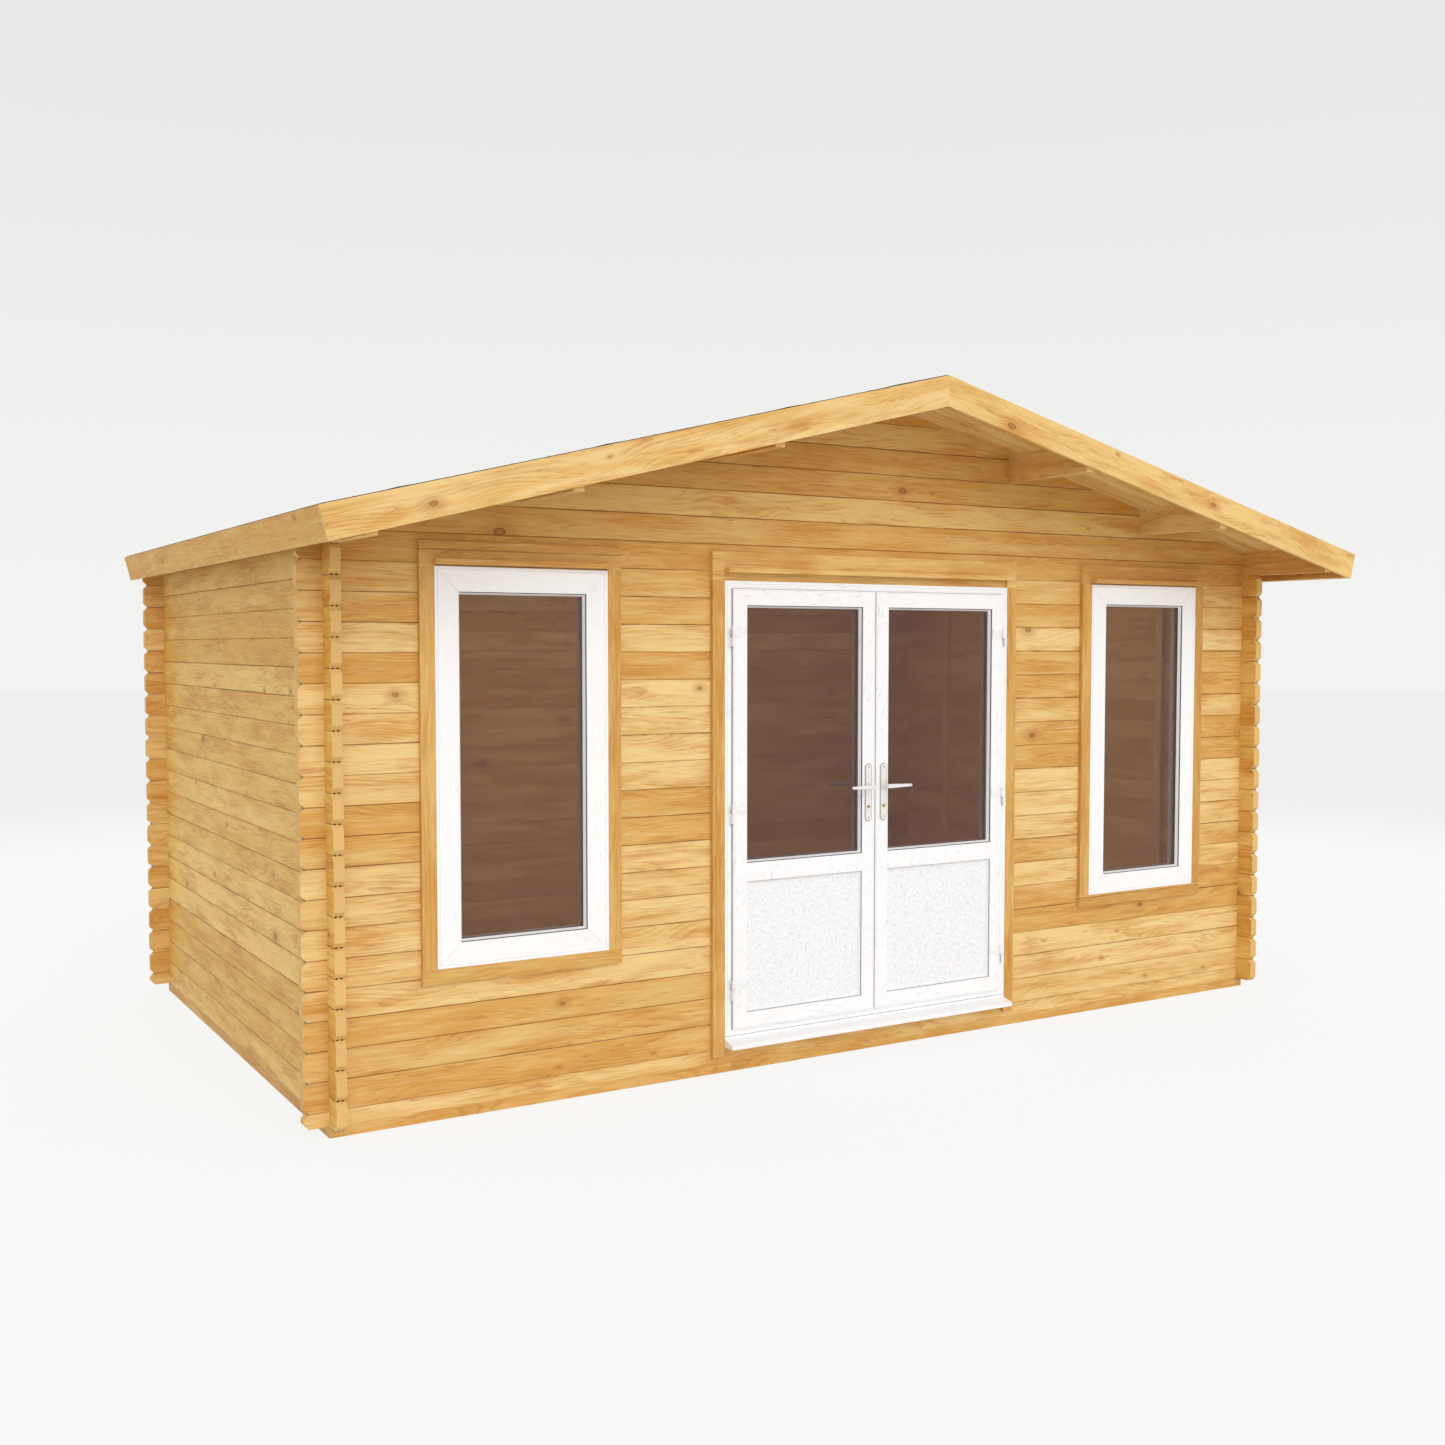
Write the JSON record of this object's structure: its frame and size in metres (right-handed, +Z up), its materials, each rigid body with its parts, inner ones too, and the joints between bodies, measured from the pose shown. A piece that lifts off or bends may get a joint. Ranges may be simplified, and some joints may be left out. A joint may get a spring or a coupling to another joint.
{
  "type": "log cabin with a glazed double door",
  "caption": "Garden log cabin of interlocking notched logs with a low gable roof, deep front overhang, white glazed double door and tall side windows",
  "frame": {"origin": "on the ground under the middle of the roof's outline", "axes": "+X to the right seen from the front, +Y towards the back wall, +Z up"},
  "size_m": [5.334, 3.522, 2.972],
  "materials": {
    "wall_logs": "satin",
    "roof_timber": "satin",
    "roof_boards": "satin",
    "fascia_boards": "satin",
    "trim_boards": "satin",
    "bearer_timber": "satin",
    "floor_boards": "satin",
    "roof_felt": "matt",
    "white_frames": "satin",
    "white_panels": "grained",
    "tinted_glass": "polished",
    "hinge_white": "gloss",
    "handle_metal": "satin"
  },
  "bodies": {
    "cabin": {"front_sill_log": "wall_logs", "front_wall_left": "wall_logs", "front_wall_right": "wall_logs", "back_wall": "wall_logs", "left_wall": "wall_logs", "right_wall": "wall_logs", "front_gable": "wall_logs", "back_gable": "wall_logs", "front_bearer": "bearer_timber", "back_bearer": "bearer_timber", "left_bearer": "bearer_timber", "right_bearer": "bearer_timber", "left_wall_battens": "wall_logs", "right_wall_battens": "wall_logs", "floor": "floor_boards", "left_eave_log": "roof_timber", "right_eave_log": "roof_timber", "left_upper_purlin": "roof_timber", "right_upper_purlin": "roof_timber", "left_lower_purlin": "roof_timber", "right_lower_purlin": "roof_timber", "left_roof_boards": "roof_boards", "right_roof_boards": "roof_boards", "left_front_bargeboard": "fascia_boards", "right_front_bargeboard": "fascia_boards", "left_back_bargeboard": "fascia_boards", "right_back_bargeboard": "fascia_boards", "left_eaves_board": "fascia_boards", "right_eaves_board": "fascia_boards", "roof_felt": "roof_felt", "left_window_frame": "white_frames", "right_window_frame": "white_frames", "door_frame": "white_frames", "door_sill": "white_frames", "left_window_glass": "tinted_glass", "right_window_glass": "tinted_glass", "left_window_trim": "trim_boards", "right_window_trim": "trim_boards", "door_trim": "trim_boards", "frame_hinges": "hinge_white"},
    "left_door": {"left_door_leaf": "white_frames", "left_door_panel": "white_panels", "left_door_glass": "tinted_glass", "left_door_hinges": "hinge_white", "left_lock_plates": "handle_metal"},
    "right_door": {"right_door_leaf": "white_frames", "right_door_panel": "white_panels", "right_door_glass": "tinted_glass", "right_door_hinges": "hinge_white", "right_lock_plates": "handle_metal"},
    "left_handle": {"left_door_levers": "handle_metal"},
    "right_handle": {"right_door_levers": "handle_metal"}
  },
  "joints": [
    {"name": "left_door_hinge", "type": "hinge", "parent": "cabin", "child": "left_door", "pos_m": [-0.757, -1.27, 1.12], "axis": [0, 0, -1], "range_deg": [0, 105]},
    {"name": "right_door_hinge", "type": "hinge", "parent": "cabin", "child": "right_door", "pos_m": [0.757, -1.27, 1.12], "axis": [0, 0, 1], "range_deg": [0, 105]},
    {"name": "left_handle_turn", "type": "hinge", "parent": "left_door", "child": "left_handle", "pos_m": [-0.042, -1.26, 1.207], "axis": [0, -1, 0], "range_deg": [0, 40], "stiffness_Nm_per_rad": 1.5, "springref_deg": -28.65},
    {"name": "right_handle_turn", "type": "hinge", "parent": "right_door", "child": "right_handle", "pos_m": [0.042, -1.26, 1.207], "axis": [0, 1, 0], "range_deg": [0, 40], "stiffness_Nm_per_rad": 1.5, "springref_deg": -28.65}
  ]
}
